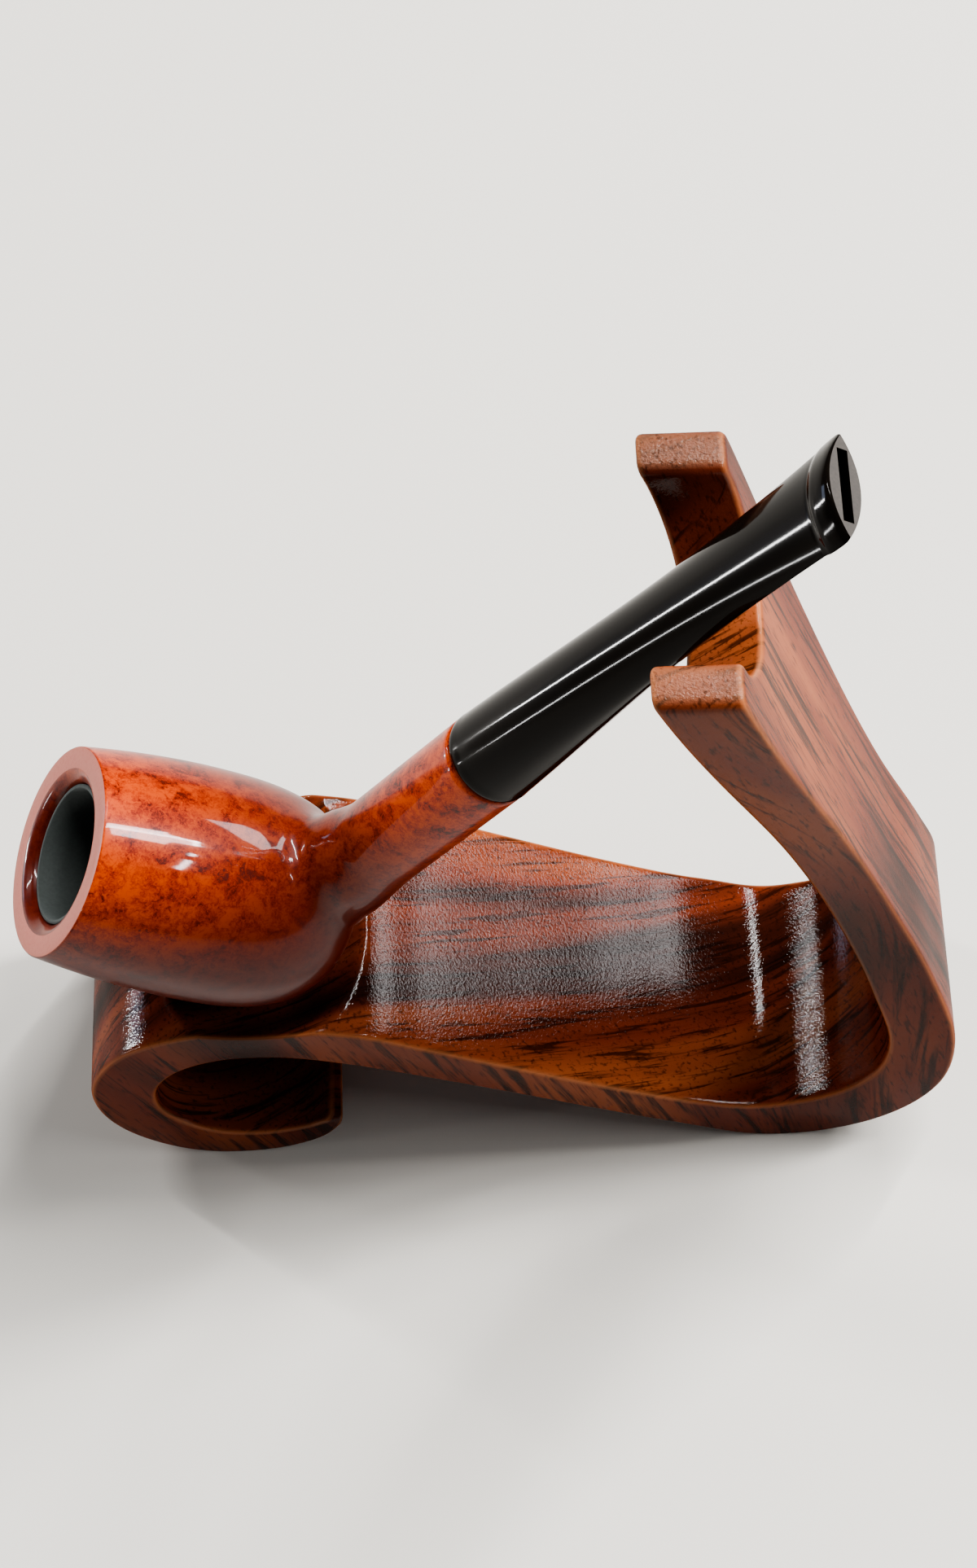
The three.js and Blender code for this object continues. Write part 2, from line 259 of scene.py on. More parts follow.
def middleLine(values):
    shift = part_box("rest")[0].x - values["left"]
    line = [p * mm for p in smoothLine(values["stations"], 12, 14)]
    above = next(i for i, p in enumerate(line) if p.y > values["height"])
    share = (values["height"] - line[above - 1].y) / (line[above].y - line[above - 1].y)
    line = line[:above] + [line[above - 1].lerp(line[above], share)]
    curve = bpy.data.curves.new("middle line", "CURVE")
    curve.dimensions = "3D"
    spline = curve.splines.new("POLY")
    spline.points.add(len(line) - 1)
    for point, place in zip(spline.points, line):
        point.co = (place.x + shift, 0, place.y, 1)
        point.radius = place.z / 2  # half the thickness travels as the radius
    lengths = [0.0]
    for a, b in zip(line, line[1:]):
        lengths.append(lengths[-1] + math.dist(a.xy, b.xy))
    after = next(i for i, p in enumerate(line) if p.y > values["forkFloor"] and i > len(line) // 2)
    part = (values["forkFloor"] - line[after - 1].y) / (line[after].y - line[after - 1].y)
    floor = lengths[after - 1] + part * (lengths[after] - lengths[after - 1])
    return newObject("middle line", curve), lengths[-1], floor, shift


# The flat blank's outline, drawn in from the edge by inset: a strip with a U-shaped notch in one end.
def blankOutline(values, length, floor, inset):
    half = values["width"] / 2
    gap = values["forkGap"] / 2
    step = values["step"]

    def side(a, b):
        count = max(1, round((Vector(b) - Vector(a)).length / step))
        return [Vector(a).lerp(Vector(b), i / count) for i in range(count)]

    def bend(centre, radius, start, end, full):
        count = max(3, round(abs(end - start) * math.pi / 180 * full / step * 1.6))
        turns = [math.radians(start + (end - start) * i / count) for i in range(count)]
        return [Vector((centre[0] + radius * math.cos(t), centre[1] + radius * math.sin(t))) for t in turns]

    c = values["corner"]
    lip = values["lip"]
    u = values["forkCorner"]
    outer = half - inset
    inner = gap + inset
    points = side((lip, -outer), (length - c, -outer))
    points += bend((length - c, -half + c), c - inset, -90, 0, c)
    points += bend((length - c, -gap - c), c - inset, 0, 90, c)
    points += side((length - c, -inner), (floor + u, -inner))
    points += bend((floor + u, -gap + u), u + inset, 270, 180, u)
    points += side((floor - inset, -gap + u), (floor - inset, gap - u))
    points += bend((floor + u, gap - u), u + inset, 180, 90, u)
    points += side((floor + u, inner), (length - c, inner))
    points += bend((length - c, gap + c), c - inset, -90, 0, c)
    points += bend((length - c, half - c), c - inset, 0, 90, c)
    points += side((length - c, outer), (lip, outer))
    points += bend((lip, half - lip), lip - inset, 90, 180, lip)
    points += side((inset, half - lip), (inset, -half + lip))
    points += bend((lip, -half + lip), lip - inset, 180, 270, lip)
    return points


# Flat blank: x along the ribbon, y across. "side" says which face a point is on, "sunk" how far below it.
def flatBlank(values, length, floor):
    edge = values["edge"]
    step = values["step"]
    rounds = [i / values["edgeRings"] * math.pi / 2 for i in range(values["edgeRings"] + 1)]
    rings = [(edge * (1 - math.cos(t)), edge * (1 - math.sin(t))) for t in rounds]
    mesh = bmesh.new()
    sideLayer = mesh.verts.layers.float.new("side")
    sunkLayer = mesh.verts.layers.float.new("sunk")
    rim = blankOutline(values, length, floor, edge)
    inside = []
    rows = int(length / step)
    columns = int(values["width"] / step)
    for i in range(1, rows):
        for j in range(1, columns):
            inside.append(Vector((length * i / rows, values["width"] * (j / columns - 0.5))))
    inside = [p for p in inside if isWellInside(p, values, length, floor, edge + 0.45 * step)]
    count = len(rim)
    points, _, faces, original, *_ = geometry.delaunay_2d_cdt(
        rim + inside, [(i, (i + 1) % count) for i in range(count)], [], 1, 1e-9)
    print("blank outline", count, "points, inside", len(inside), "faces", len(faces))
    for face in (1.0, -1.0):
        verts = []
        for point in points:
            vert = mesh.verts.new((point.x, point.y, 0))
            vert[sideLayer] = face
            vert[sunkLayer] = 0.0
            verts.append(vert)
        for corners in faces:
            mesh.faces.new([verts[i] for i in corners])
        outer = [None] * count
        for index, sources in enumerate(original):
            for source in sources:
                if source < count:
                    outer[source] = verts[index]
        for inset, sunk in reversed(rings[:-1]):
            ring = []
            for point in blankOutline(values, length, floor, inset):
                vert = mesh.verts.new((point.x, point.y, 0))
                vert[sideLayer] = face
                vert[sunkLayer] = sunk
                ring.append(vert)
            for i in range(count):
                j = (i + 1) % count
                mesh.faces.new((outer[i], outer[j], ring[j], ring[i]))
            outer = ring
        if face > 0:
            topRing = outer
        else:
            for i in range(count):
                j = (i + 1) % count
                mesh.faces.new((topRing[i], topRing[j], outer[j], outer[i]))
    blank = bpy.data.meshes.new("rest")
    mesh.to_mesh(blank)
    mesh.free()
    return blank


def isWellInside(p, values, length, floor, margin):
    u = values["forkCorner"]
    gap = values["forkGap"] / 2
    lip = values["lip"]
    if not (margin < p.x < length - margin and abs(p.y) < values["width"] / 2 - margin):
        return False
    if p.x < lip + margin and abs(p.y) > values["width"] / 2 - lip - margin:
        return False
    if p.x > floor - margin and abs(p.y) < gap + margin:
        corner = Vector((floor + u, gap - u))
        away = (Vector((p.x, abs(p.y))) - corner).length
        return p.x < corner.x and abs(p.y) > corner.y and away > u + margin
    return True


def ribbonTree():
    tree = bpy.data.node_groups.new("wrap the blank along its line", "GeometryNodeTree")
    newSocket = tree.interface.new_socket
    newSocket("Geometry", in_out="INPUT", socket_type="NodeSocketGeometry")
    newSocket("Geometry", in_out="OUTPUT", socket_type="NodeSocketGeometry")
    for name, kind in (
            ("Middle line", "NodeSocketObject"), ("Length", "NodeSocketFloat"),
            ("Width", "NodeSocketFloat"), ("Height", "NodeSocketFloat"),
            ("Waist depth", "NodeSocketFloat"), ("Waist power", "NodeSocketFloat"),
            ("Waist from", "NodeSocketFloat"), ("Waist lean", "NodeSocketFloat"),
            ("Waist ease", "NodeSocketFloat"), ("Levelled", "NodeSocketFloat"),
            ("Dish centre", "NodeSocketVector"), ("Dish half axes", "NodeSocketVector"),
            ("Material", "NodeSocketMaterial")):
        newSocket(name, in_out="INPUT", socket_type=kind)
    start = addNode(tree, "NodeGroupInput").outputs
    blank = addNode(tree, "GeometryNodeInputPosition").outputs[0]
    flat = addNode(tree, "ShaderNodeSeparateXYZ", {}, {0: blank}).outputs
    side = addNode(tree, "GeometryNodeInputNamedAttribute", {"data_type": "FLOAT"}, {0: "side"}).outputs[0]
    sunk = addNode(tree, "GeometryNodeInputNamedAttribute", {"data_type": "FLOAT"}, {0: "sunk"}).outputs[0]
    line = addNode(tree, "GeometryNodeObjectInfo", {}, {"Object": start["Middle line"]})
    thick = addNode(tree, "GeometryNodeInputRadius")
    on = addNode(tree, "GeometryNodeSampleCurve", {
        "mode": "LENGTH", "data_type": "FLOAT", "use_all_curves": False}, {
        "Curves": line.outputs["Geometry"], "Value": thick.outputs[0], "Length": flat[0]})
    half = on.outputs["Value"]
    centre = on.outputs["Position"]
    along = on.outputs["Tangent"]
    out = addNode(tree, "ShaderNodeVectorMath", {"operation": "CROSS_PRODUCT"}, {
        0: along, 1: (0.0, 1.0, 0.0)}).outputs[0]
    depth = addNode(tree, "ShaderNodeMath", {"operation": "SUBTRACT"}, {0: half, 1: sunk}).outputs[0]
    offset = addNode(tree, "ShaderNodeMath", {"operation": "MULTIPLY"}, {0: depth, 1: side}).outputs[0]
    # the end is cut level: points slide along the ribbon as they lie off its middle
    outParts = addNode(tree, "ShaderNodeSeparateXYZ", {}, {0: out}).outputs
    alongParts = addNode(tree, "ShaderNodeSeparateXYZ", {}, {0: along}).outputs
    slope = addNode(tree, "ShaderNodeMath", {"operation": "DIVIDE"}, {
        0: outParts[2], 1: alongParts[2]}).outputs[0]
    slide = addNode(tree, "ShaderNodeMath", {"operation": "MULTIPLY"}, {0: offset, 1: slope}).outputs[0]
    last = addNode(tree, "ShaderNodeMath", {"operation": "SUBTRACT"}, {
        0: start["Length"], 1: start["Levelled"]}).outputs[0]
    nearEnd = addNode(tree, "ShaderNodeMapRange", {"interpolation_type": "SMOOTHSTEP"}, {
        "Value": flat[0], "From Min": last, "From Max": start["Length"], "To Max": -1.0}).outputs[0]
    shift = addNode(tree, "ShaderNodeMath", {"operation": "MULTIPLY"}, {0: slide, 1: nearEnd}).outputs[0]
    slid = addNode(tree, "ShaderNodeVectorMath", {"operation": "SCALE"}, {
        0: along, "Scale": shift}).outputs[0]
    stood = addNode(tree, "ShaderNodeVectorMath", {"operation": "SCALE"}, {
        0: out, "Scale": offset}).outputs[0]
    moved = addNode(tree, "ShaderNodeVectorMath", {"operation": "ADD"}, {0: centre, 1: slid}).outputs[0]
    placed = addNode(tree, "ShaderNodeVectorMath", {"operation": "ADD"}, {0: moved, 1: stood}).outputs[0]
    at = addNode(tree, "ShaderNodeSeparateXYZ", {}, {0: placed}).outputs
    # waist of the upright, seen from the front
    lean = addNode(tree, "ShaderNodeMath", {"operation": "MULTIPLY"}, {
        0: at[2], 1: start["Waist lean"]}).outputs[0]
    low = addNode(tree, "ShaderNodeMath", {"operation": "SUBTRACT"}, {
        0: start["Waist from"], 1: lean}).outputs[0]
    high = addNode(tree, "ShaderNodeMath", {"operation": "ADD"}, {
        0: low, 1: start["Waist ease"]}).outputs[0]
    upright = addNode(tree, "ShaderNodeMapRange", {"interpolation_type": "SMOOTHSTEP"}, {
        "Value": at[0], "From Min": low, "From Max": high}).outputs[0]
    rise = addNode(tree, "ShaderNodeMapRange", {}, {
        "Value": at[2], "From Max": start["Height"], "To Max": math.pi}).outputs[0]
    swell = addNode(tree, "ShaderNodeMath", {"operation": "SINE"}, {0: rise}).outputs[0]
    swellUp = addNode(tree, "ShaderNodeMath", {"operation": "MAXIMUM"}, {0: swell, 1: 0.0}).outputs[0]
    shaped = addNode(tree, "ShaderNodeMath", {"operation": "POWER"}, {
        0: swellUp, 1: start["Waist power"]}).outputs[0]
    narrow = addNode(tree, "ShaderNodeMath", {"operation": "DIVIDE"}, {
        0: start["Waist depth"], 1: start["Width"]}).outputs[0]
    strength = addNode(tree, "ShaderNodeMath", {"operation": "MULTIPLY"}, {
        0: shaped, 1: upright}).outputs[0]
    taken = addNode(tree, "ShaderNodeMath", {"operation": "MULTIPLY"}, {0: strength, 1: narrow}).outputs[0]
    kept = addNode(tree, "ShaderNodeMath", {"operation": "MULTIPLY_ADD"}, {
        0: taken, 1: -2.0, 2: 1.0}).outputs[0]
    across = addNode(tree, "ShaderNodeMath", {"operation": "MULTIPLY"}, {0: flat[1], 1: kept}).outputs[0]
    # dish in the crest: how far the face lies above the ellipsoid's underside
    faceAt = addNode(tree, "ShaderNodeVectorMath", {"operation": "MULTIPLY_ADD"}, {
        0: out, 1: half, 2: centre}).outputs[0]
    faceParts = addNode(tree, "ShaderNodeSeparateXYZ", {}, {0: faceAt}).outputs
    facePoint = addNode(tree, "ShaderNodeCombineXYZ", {}, {0: faceParts[0], 1: across}).outputs[0]
    dishFlat = addNode(tree, "ShaderNodeVectorMath", {"operation": "MULTIPLY"}, {
        0: start["Dish centre"], 1: (1.0, 1.0, 0.0)}).outputs[0]
    fromDish = addNode(tree, "ShaderNodeVectorMath", {"operation": "SUBTRACT"}, {
        0: facePoint, 1: dishFlat}).outputs[0]
    share = addNode(tree, "ShaderNodeVectorMath", {"operation": "DIVIDE"}, {
        0: fromDish, 1: start["Dish half axes"]}).outputs[0]
    square = addNode(tree, "ShaderNodeVectorMath", {"operation": "DOT_PRODUCT"}, {
        0: share, 1: share}).outputs["Value"]
    left = addNode(tree, "ShaderNodeMath", {"operation": "SUBTRACT"}, {0: 1.0, 1: square}).outputs[0]
    within = addNode(tree, "ShaderNodeMath", {"operation": "GREATER_THAN"}, {0: left, 1: 0.0}).outputs[0]
    leftOver = addNode(tree, "ShaderNodeMath", {"operation": "MAXIMUM"}, {0: left, 1: 0.0}).outputs[0]
    root = addNode(tree, "ShaderNodeMath", {"operation": "SQRT"}, {0: leftOver}).outputs[0]
    dishAxes = addNode(tree, "ShaderNodeSeparateXYZ", {}, {0: start["Dish half axes"]}).outputs
    dishAt = addNode(tree, "ShaderNodeSeparateXYZ", {}, {0: start["Dish centre"]}).outputs
    drop = addNode(tree, "ShaderNodeMath", {"operation": "MULTIPLY"}, {0: root, 1: dishAxes[2]}).outputs[0]
    under = addNode(tree, "ShaderNodeMath", {"operation": "SUBTRACT"}, {0: dishAt[2], 1: drop}).outputs[0]
    above = addNode(tree, "ShaderNodeMath", {"operation": "SUBTRACT"}, {
        0: faceParts[2], 1: under}).outputs[0]
    carved = addNode(tree, "ShaderNodeMath", {"operation": "MAXIMUM"}, {0: above, 1: 0.0}).outputs[0]
    isTop = addNode(tree, "ShaderNodeMath", {"operation": "GREATER_THAN"}, {0: side, 1: 0.0}).outputs[0]
    allowed = addNode(tree, "ShaderNodeMath", {"operation": "MULTIPLY"}, {0: within, 1: isTop}).outputs[0]
    lowered = addNode(tree, "ShaderNodeMath", {"operation": "MULTIPLY"}, {
        0: carved, 1: allowed}).outputs[0]
    down = addNode(tree, "ShaderNodeMath", {"operation": "SUBTRACT"}, {0: at[2], 1: lowered}).outputs[0]
    standing = addNode(tree, "ShaderNodeMath", {"operation": "MAXIMUM"}, {0: down, 1: 0.0}).outputs[0]
    final = addNode(tree, "ShaderNodeCombineXYZ", {}, {0: at[0], 1: across, 2: standing}).outputs[0]
    wrapped = addNode(tree, "GeometryNodeSetPosition", {}, {
        "Geometry": start["Geometry"], "Position": final})
    smooth = addNode(tree, "GeometryNodeSetShadeSmooth", {}, {"Geometry": wrapped.outputs[0]})
    real = addNode(tree, "GeometryNodeRealizeInstances", {}, {"Geometry": smooth.outputs[0]})
    painted = addNode(tree, "GeometryNodeSetMaterial", {}, {
        "Geometry": real.outputs[0], "Material": start["Material"]})
    addNode(tree, "NodeGroupOutput", {}, {0: painted.outputs[0]})
    return tree


# Runs a tree on an object and gives back the result as a plain mesh object.
def grownFrom(obj, tree, values):
    modifier = obj.modifiers.new("grow", "NODES")
    modifier.node_group = tree
    keys = {item.name: item.identifier for item in tree.interface.items_tree if item.in_out == "INPUT"}
    for name, value in values.items():
        modifier[keys[name]] = value
    bpy.context.view_layer.update()
    ready = obj.evaluated_get(bpy.context.evaluated_depsgraph_get())
    mesh = bpy.data.meshes.new_from_object(ready)
    mesh.name = obj.name
    obj.modifiers.remove(modifier)
    obj.data = mesh
    return obj


def makeRest(values, material):
    line, length, floor, shift = middleLine(values)
    obj = newObject("rosewoodRest", flatBlank(values, length, floor))
    centre = Vector(values["dishCentre"]) + Vector((shift, 0, 0))
    grownFrom(obj, ribbonTree(), {
        "Middle line": line, "Length": length, "Width": values["width"], "Height": values["height"],
        "Waist depth": values["waistDepth"], "Waist power": values["waistPower"],
        "Waist from": values["waistFrom"] + shift, "Waist lean": values["waistLean"],
        "Waist ease": values["waistEase"], "Levelled": values["levelled"],
        "Dish centre": centre, "Dish half axes": values["dishHalf"], "Material": material})
    bpy.data.objects.remove(line)
    tidy = bmesh.new()
    tidy.from_mesh(obj.data)
    bmesh.ops.remove_doubles(tidy, verts=tidy.verts, dist=1e-6)
    bmesh.ops.recalc_face_normals(tidy, faces=tidy.faces)
    tidy.to_mesh(obj.data)
    tidy.free()
    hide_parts("rest")
    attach(obj, "stand")
    print("rest:", len(obj.data.polygons), "faces")
    return obj


makeRest(rest, lacqueredRosewood(rosewood))


# Where the pipe lies. Its own frame has x along the shank and z up the bowl.
pipe = {
    "along": Vector(frame["joints"][1]["axis"]).normalized(),  # shank, towards the bit
    "inBox": Vector((42.283, 17.6, 12.48)) * mm,  # crossing of bowl and shank, in the bowl's box
}


def pipePlace(values):
    up = Vector((-values["along"].z, 0, values["along"].x))
    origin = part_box("stummel")[0] + values["inBox"]
    turn = Matrix((values["along"], Vector((0, 1, 0)), up)).transposed().to_4x4()
    return Matrix.Translation(origin) @ turn


place = pipePlace(pipe)


briar = {
    "light": "#b04312",
    "middle": "#8a2608",
    "dark": "#440e03",
    "low": "#3f0a03",      # painted shade: the dark colour the lower bowl fades to, standing for the shade on its underside
    "shadeFrom": 66 * mm,    # heights above the table between which it fades
    "shadeTo": 99 * mm,
    "cloud": 3.4 * mm,     # patches of figure
    "eye": 0.6 * mm,       # bird's eyes and flecks
    "rim": "#9a4a35",      # sanded top of the bowl, paler than the stained sides
}


def polishedBriar(values):
    # burl wood with cloudy figure and small eyes under orange stain, bright as glass where it was waxed, with
    # painted shade darkening it towards the table
    material, tree = newMaterial("briar stained and waxed to a polish")
    where = addNode(tree, "ShaderNodeTexCoord").outputs["Object"]
    cloud = addNode(tree, "ShaderNodeTexNoise", {}, {
        "Vector": where, "Scale": 1 / values["cloud"], "Detail": 4.0, "Roughness": 0.62, "Distortion": 0.8})
    eyes = addNode(tree, "ShaderNodeTexNoise", {}, {
        "Vector": where, "Scale": 1 / values["eye"], "Detail": 3.0, "Roughness": 0.65, "Distortion": 1.2})
    fleck = addNode(tree, "ShaderNodeMath", {"operation": "MULTIPLY_ADD"}, {
        0: eyes.outputs["Fac"], 1: 0.75, 2: cloud.outputs["Fac"]})
    colour = addNode(tree, "ShaderNodeValToRGB", {}, {"Fac": fleck.outputs[0]})
    ramp = colour.color_ramp
    ramp.elements[0].position = 0.66
    ramp.elements[0].color = srgb(values["dark"])
    ramp.elements[1].position = 1.0
    ramp.elements[1].color = srgb(values["light"])
    ramp.elements.new(0.8).color = srgb(values["middle"])
    # painted shade: lower on the bowl the figure fades to a dark colour, standing for the shade on its
    # underside
    height = addNode(tree, "ShaderNodeSeparateXYZ", {}, {0: where}).outputs[2]
    paintedShadeShare = addNode(tree, "ShaderNodeMapRange", {"interpolation_type": "SMOOTHSTEP"}, {
        "Value": height, "From Min": values["shadeFrom"], "From Max": values["shadeTo"],
        "To Min": 0.92, "To Max": 0.0})
    stainedAndShaded = addNode(tree, "ShaderNodeMix", {"data_type": "RGBA"}, {
        "Factor": paintedShadeShare.outputs[0], "A": colour.outputs[0], "B": srgb(values["low"])})
    surface = addNode(tree, "ShaderNodeBsdfPrincipled", {}, {
        "Base Color": stainedAndShaded.outputs["Result"],
        "Roughness": 0.34,
        "IOR": 1.5,
        "Specular IOR Level": 0.1,
        "Coat Weight": 0.3,
        "Coat Roughness": 0.05,
        "Coat IOR": 1.5})
    addNode(tree, "ShaderNodeOutputMaterial", {}, {"Surface": surface.outputs[0]})
    return material


def sandedBriar(values):
    # satin and without much stain, so the rim reads as a pale ring
    material, tree = newMaterial("briar sanded flat and oiled")
    where = addNode(tree, "ShaderNodeTexCoord").outputs["Object"]
    grain = addNode(tree, "ShaderNodeTexNoise", {}, {
        "Vector": where, "Scale": 1 / values["eye"], "Detail": 4.0, "Roughness": 0.7})
    tone = addNode(tree, "ShaderNodeMapRange", {}, {
        "Value": grain.outputs["Fac"], "From Min": 0.45, "From Max": 0.75, "To Min": 0.0, "To Max": 0.55})
    colour = addNode(tree, "ShaderNodeMix", {"data_type": "RGBA"}, {
        "Factor": tone.outputs[0], "A": srgb(values["rim"]), "B": srgb(values["middle"])})
    surface = addNode(tree, "ShaderNodeBsdfPrincipled", {}, {
        "Base Color": colour.outputs["Result"], "Roughness": 0.38, "Specular IOR Level": 0.35})
    addNode(tree, "ShaderNodeOutputMaterial", {}, {"Surface": surface.outputs[0]})
    return material


# A form turned about z, from pairs of radius and height that close on themselves or on the axis.
def turned(profile, count):
    mesh = bmesh.new()
    rings = []
    for radius, height in profile:
        if radius < 1e-7:
            rings.append([mesh.verts.new((0, 0, height))] * count)
        else:
            rings.append([mesh.verts.new((
                radius * math.cos(math.tau * i / count), radius * math.sin(math.tau * i / count), height))
                for i in range(count)])
    closed = profile[0][0] > 1e-7
    pairs = list(zip(rings, rings[1:])) + ([(rings[-1], rings[0])] if closed else [])
    for a, b in pairs:
        for i in range(count):
            j = (i + 1) % count
            corners = []
            for vert in (a[i], a[j], b[j], b[i]):
                if vert not in corners:
                    corners.append(vert)
            if len(corners) > 2:
                mesh.faces.new(corners)
    return mesh


# A loft along x through sections, closed at both ends.
def lofted(sections):
    mesh = bmesh.new()
    rings = [[mesh.verts.new(p) for p in section] for section in sections]
    count = len(rings[0])
    for a, b in zip(rings, rings[1:]):
        for i in range(count):
            j = (i + 1) % count
            mesh.faces.new((a[i], a[j], b[j], b[i]))
    for ring in (rings[0], rings[-1]):
        middle = mesh.verts.new(sum((v.co for v in ring), Vector()) / count)
        for i in range(count):
            mesh.faces.new((ring[i], ring[(i + 1) % count], middle))
    return mesh


def finished(mesh, name):
    bmesh.ops.remove_doubles(mesh, verts=mesh.verts, dist=1e-7)
    bmesh.ops.recalc_face_normals(mesh, faces=mesh.faces)
    data = bpy.data.meshes.new(name)
    mesh.to_mesh(data)
    mesh.free()
    for face in data.polygons:
        face.use_smooth = True
    return newObject(name, data)


# Joins tool to body, or cuts it from body, and leaves body as a plain mesh.
def combined(body, tool, how):
    modifier = body.modifiers.new("join", "BOOLEAN")
    modifier.operation = how
    modifier.object = tool
    modifier.solver = "EXACT"
    bpy.context.view_layer.update()
    ready = body.evaluated_get(bpy.context.evaluated_depsgraph_get())
    mesh = bpy.data.meshes.new_from_object(ready)
    body.modifiers.remove(modifier)
    body.data = mesh
    bpy.data.objects.remove(tool)
    return body


def smoothstep(value, low, high):
    t = min(max((value - low) / (high - low), 0), 1)
    return t * t * (3 - 2 * t)


stummel = {
    "bowlHeight": 47, "rimHeight": 40, "rimRadius": 15.9, "bowlRadius": 17.6, "shoulder": 21,
    "roundness": 2.9, "taper": 1.8, "rimEdge": 0.35, "rimMiddle": 14.2, "rimFlat": 12.3,
    "bevel": 1.2, "bevelBend": 1.3,
    "chamberRadius": 10.8, "chamberFloor": -2, "chamberRound": 0.75,
    "shankRadius": 7, "shankRoot": 3, "shankEnd": 55.3, "endEase": 0.25,
    "flare": 1.8, "flareFrom": 14, "flareTo": 26, "flareAround": 0.35, "flareRimward": 1.4,
    "draught": 1.9, "mortise": 4.4, "mortiseDepth": 15.5,
    "blend": 5.0,               # mm either side of the crease that are eased into a fillet
    "around": 144,
}


def bowlProfile(v):
    shoulder = v["rimHeight"] - v["shoulder"]
    foot = v["rimHeight"] - v["bowlHeight"]
    profile = []
    for i in range(41):
        down = math.cos(i / 40 * math.pi / 2)
        radius = v["bowlRadius"] * (1 - down ** v["roundness"]) ** (1 / v["roundness"])
        profile.append((radius, shoulder - down * (shoulder - foot)))
    edge = v["rimEdge"]
    for i in range(1, 25):
        up = i / 24
        radius = v["rimRadius"] + (v["bowlRadius"] - v["rimRadius"]) * (1 - up ** v["taper"])
        profile.append((radius, shoulder + up * (v["shoulder"] - edge)))
    for i in range(1, 5):
        t = i / 4 * math.pi / 2
        profile.append((v["rimRadius"] - edge * (1 - math.cos(t)), v["rimHeight"] - edge * (1 - math.sin(t))))
    rim = v["rimHeight"]
    flat = v["rimFlat"]
    chamber = v["chamberRadius"]
    profile += [(v["rimMiddle"], rim), (flat + 0.25, rim), (flat, rim - 0.06)]
    profile += [(flat + (chamber - flat) * s, rim - v["bevel"] * s ** v["bevelBend"])
                for s in (0.25, 0.5, 0.75, 1.0)]
    floor = v["chamberFloor"]
    depth = rim - v["bevel"] - floor - chamber * v["chamberRound"]
    for i in range(1, 12):
        profile.append((chamber, rim - v["bevel"] - depth * i / 11))
    for i in range(1, 13):
        t = (1 - i / 12) * math.pi / 2
        profile.append((chamber * math.sin(t), floor + chamber * v["chamberRound"] * (1 - math.cos(t))))
    return [(r * mm, z * mm) for r, z in profile]


def shankSections(v, count):
    sections = []
    steps = 84
    for i in range(steps + 1):
        x = v["shankRoot"] + (v["shankEnd"] - v["shankRoot"]) * i / steps
        section = []
        ease = v["endEase"] * smoothstep(x, v["shankEnd"] - 0.3, v["shankEnd"])
        for k in range(count):
            turn = math.tau * k / count
            towardsRim = max(math.sin(turn), 0)
            flare = v["flare"] * (1 - smoothstep(x, v["flareFrom"], v["flareTo"]))
            flare *= v["flareAround"] + v["flareRimward"] * towardsRim
            radius = v["shankRadius"] + flare - ease
            section.append(Vector((x, radius * math.cos(turn), radius * math.sin(turn))) * mm)
        sections.append(section)
    return sections


def rod(radius, low, high, count=32):
    circle = [(math.cos(math.tau * k / count), math.sin(math.tau * k / count)) for k in range(count)]
    ends = [[Vector((x, radius * c, radius * s)) * mm for c, s in circle] for x in (low, high)]
    return finished(lofted(ends), "rod")


def makeStummel(v, material, rimMaterial):
    bowl = finished(turned(bowlProfile(v), v["around"]), "briarStummel")
    shank = finished(lofted(shankSections(v, 96)), "shank")
    combined(bowl, shank, "UNION")
    combined(bowl, chamberPlug(v), "DIFFERENCE")
    combined(bowl, rod(v["draught"], 6, v["shankEnd"]), "DIFFERENCE")
    combined(bowl, rod(v["mortise"], v["shankEnd"] - v["mortiseDepth"], v["shankEnd"] + 3), "DIFFERENCE")
    easeCrease(bowl, v)
    bowl.data.materials.clear()
    bowl.data.materials.append(material)
    bowl.data.materials.append(rimMaterial)
    for face in bowl.data.polygons:
        face.use_smooth = True
        onRim = face.center.z > (v["rimHeight"] - 0.03) * mm and abs(face.normal.z) > 0.9
        face.material_index = 1 if onRim else 0
    bowl.data.transform(place)
    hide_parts("stummel")
    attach(bowl, "bowl")
    print("stummel:", len(bowl.data.polygons), "faces")
    return bowl


def chamberPlug(v):
    radius = v["chamberRadius"]
    floor = v["chamberFloor"]
    profile = [(0, floor)]
    for i in range(1, 13):
        t = i / 12 * math.pi / 2
        profile.append((radius * math.sin(t), floor + radius * v["chamberRound"] * (1 - math.cos(t))))
    profile += [(radius, 30), (0, 30)]
    return finished(turned([(r * mm, z * mm) for r, z in profile], v["around"]), "plug")


